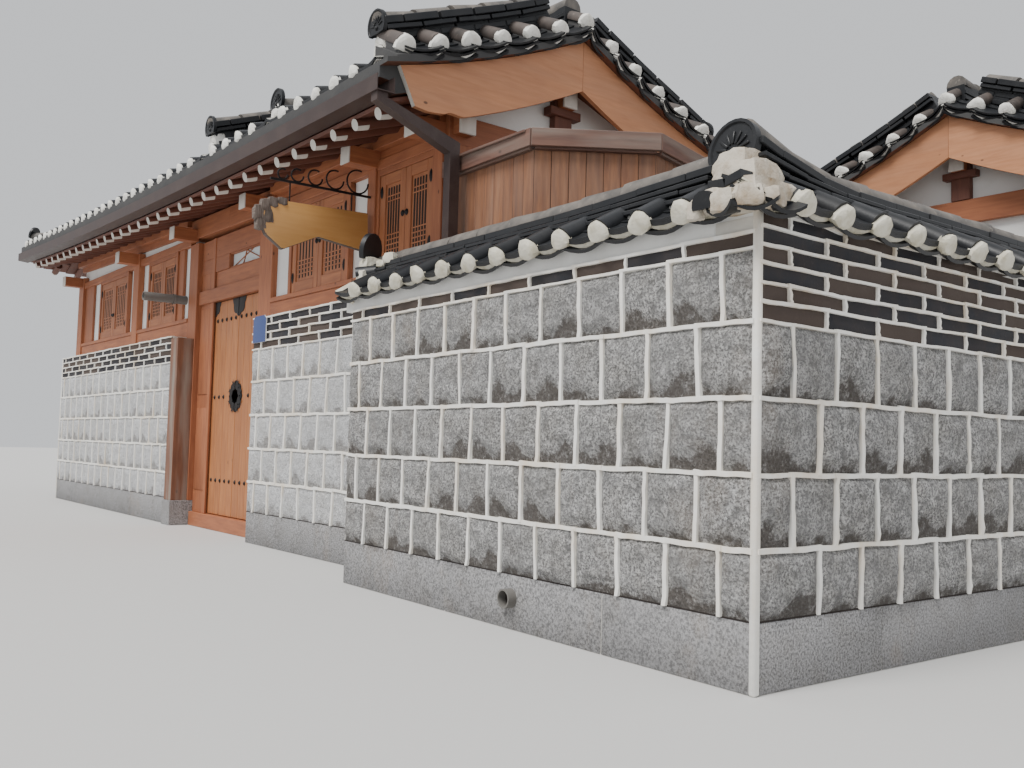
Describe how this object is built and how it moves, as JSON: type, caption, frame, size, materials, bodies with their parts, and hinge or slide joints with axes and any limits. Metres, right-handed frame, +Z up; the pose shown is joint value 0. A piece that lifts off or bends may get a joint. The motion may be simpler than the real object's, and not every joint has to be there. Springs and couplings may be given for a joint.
{
  "type": "hanok house",
  "caption": "Tiled timber courtyard house with a stone base, a two-leaf street gate and a stone yard wall under a tiled coping.",
  "frame": {"origin": "middle of the bounding box at ground level", "axes": "+X to the right along the street front, +Y from the street into the block, +Z up"},
  "size_m": [14.2154, 10.2986, 4.65],
  "materials": {
    "granite": "split-faced granite blocks with raised pale mortar",
    "roof_tile": "fired clay tiles, slightly glossy, weathered",
    "timber": "oiled red-brown pine",
    "pale_boards": "oiled pine boards with knots",
    "gate_wood": "varnished orange-brown planks",
    "plaster": "smooth lime plaster",
    "iron": "black wrought iron",
    "gutter_metal": "dark brown painted sheet",
    "plate_enamel": "blue enamel with a pale rim, blank",
    "bell_plastic": "light grey moulded plastic"
  },
  "bodies": {
    "house": {"yard_wall_front": "granite", "yard_wall_side": "granite", "coping_front": "roof_tile", "coping_side": "roof_tile", "sign_board": "pale_boards", "sign_bracket": "iron", "roof_front": "roof_tile", "ridges_front": "roof_tile", "rafters_front": "timber", "roof_left": "roof_tile", "ridges_left": "roof_tile", "rafters_left": "timber", "roof_back": "roof_tile", "ridges_back": "roof_tile", "rafters_back": "timber", "roof_right": "roof_tile", "ridges_right": "roof_tile", "rafters_right": "timber", "street_wall_right": "granite", "street_wall_left": "granite", "street_frame_right": "timber", "street_frame_left": "timber", "street_shutters_1": "timber", "street_shutters_2": "timber", "street_shutters_3": "timber", "street_shutters_4": "timber", "left_wall": "granite", "back_wall": "granite", "right_wall": "granite", "court_front_right": "timber", "court_front_left": "timber", "court_left": "timber", "court_back": "timber", "court_right": "timber", "floor_right_room": "granite", "floor_rooms": "granite", "passage_wall_right": "plaster", "passage_wall_left": "plaster", "gate_frame": "timber", "near_gable_wall": "plaster", "near_gable_frame": "timber", "near_gable_bargeboards": "pale_boards", "rear_gable_wall": "plaster", "rear_gable_frame": "timber", "rear_gable_bargeboards": "pale_boards", "plank_bay": "pale_boards", "plank_bay_rail": "pale_boards", "street_gutter": "gutter_metal", "rain_pipe": "gutter_metal", "flue_stub": "gutter_metal", "number_plate": "plate_enamel", "door_bell": "bell_plastic"},
    "left_leaf": {"gate_leaf_left": "gate_wood"},
    "right_leaf": {"gate_leaf_right": "gate_wood"}
  },
  "joints": [
    {"name": "left_leaf_hinge", "type": "hinge", "parent": "house", "child": "left_leaf", "pos_m": [-0.7976, -4.11569, 0.15], "axis": [0, 0, 1], "range_deg": [0, 90]},
    {"name": "right_leaf_hinge", "type": "hinge", "parent": "house", "child": "right_leaf", "pos_m": [0.39205, -4.08661, 0.15], "axis": [0, 0, -1], "range_deg": [0, 90]}
  ]
}
